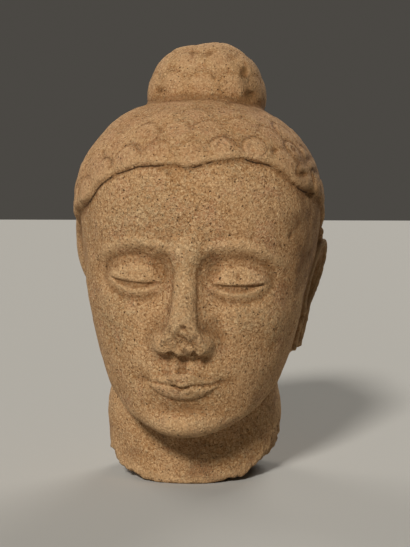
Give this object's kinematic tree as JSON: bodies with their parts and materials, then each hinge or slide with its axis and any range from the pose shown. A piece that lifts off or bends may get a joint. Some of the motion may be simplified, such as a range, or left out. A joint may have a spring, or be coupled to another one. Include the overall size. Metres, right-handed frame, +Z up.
{
  "type": "stucco buddha head",
  "caption": "Worn life-size stucco head of a buddha with snail-curl hair, a topknot, a broken nose tip and a broken neck on which it stands.",
  "frame": {"origin": "on the flat of the broken neck that the head stands on, below the middle of the skull", "axes": "+Z up to the top of the topknot, the face looks along -Y, the head's own left side is +X"},
  "size_m": [0.1732, 0.2066, 0.2912],
  "materials": {
    "stucco": "dry, matt, pitted lime stucco of a warm sand colour with brown stains"
  },
  "bodies": {
    "root": {"head": "stucco"}
  },
  "joints": []
}
